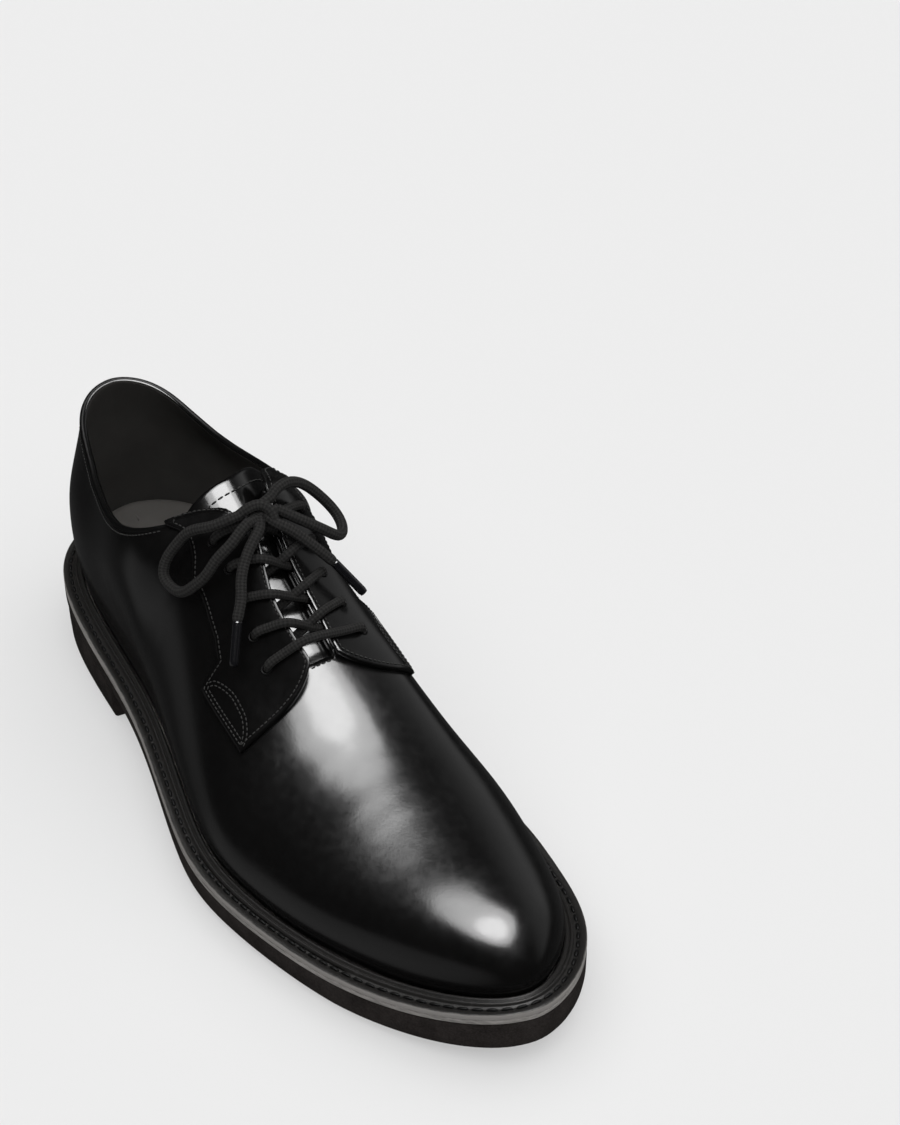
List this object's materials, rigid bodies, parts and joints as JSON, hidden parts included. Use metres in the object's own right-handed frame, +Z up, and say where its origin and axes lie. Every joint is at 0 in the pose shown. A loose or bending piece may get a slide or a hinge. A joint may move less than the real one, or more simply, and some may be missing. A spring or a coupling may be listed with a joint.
{
  "type": "derby shoe",
  "caption": "Right-foot plain-toe leather derby dress shoe with open lacing, tied bow, storm welt, rubber outsole and stacked block heel; stands empty on its sole.",
  "frame": {"origin": "on the floor under the middle of the sole's outline", "axes": "+X towards the toe, +Y towards the inner (medial) side, +Z up"},
  "size_m": [0.3041, 0.1048, 0.1095],
  "materials": {
    "outsole_rubber": "matte",
    "heel_rubber": "matte",
    "midsole_rubber": "matte",
    "welt_leather": "satin",
    "insole_leather": "matte",
    "upper_leather": "high gloss",
    "tongue_leather": "gloss",
    "facing_leather": "high gloss",
    "aglet_plastic": "gloss",
    "lace_cotton": "matte"
  },
  "bodies": {
    "root": {"outsole": "outsole_rubber", "heel": "heel_rubber", "midsole": "midsole_rubber", "welt": "welt_leather", "insole": "insole_leather", "upper": "upper_leather", "tongue": "tongue_leather", "facing_outer": "facing_leather", "facing_inner": "facing_leather", "aglet_outer": "aglet_plastic", "aglet_inner": "aglet_plastic", "lace_row_1": "lace_cotton", "lace_row_2": "lace_cotton", "lace_row_3": "lace_cotton", "lace_row_4": "lace_cotton", "lace_row_5": "lace_cotton", "lace_knot": "lace_cotton", "lace_loop_outer": "lace_cotton", "lace_loop_inner": "lace_cotton", "lace_end_outer": "lace_cotton", "lace_end_inner": "lace_cotton"}
  },
  "joints": []
}
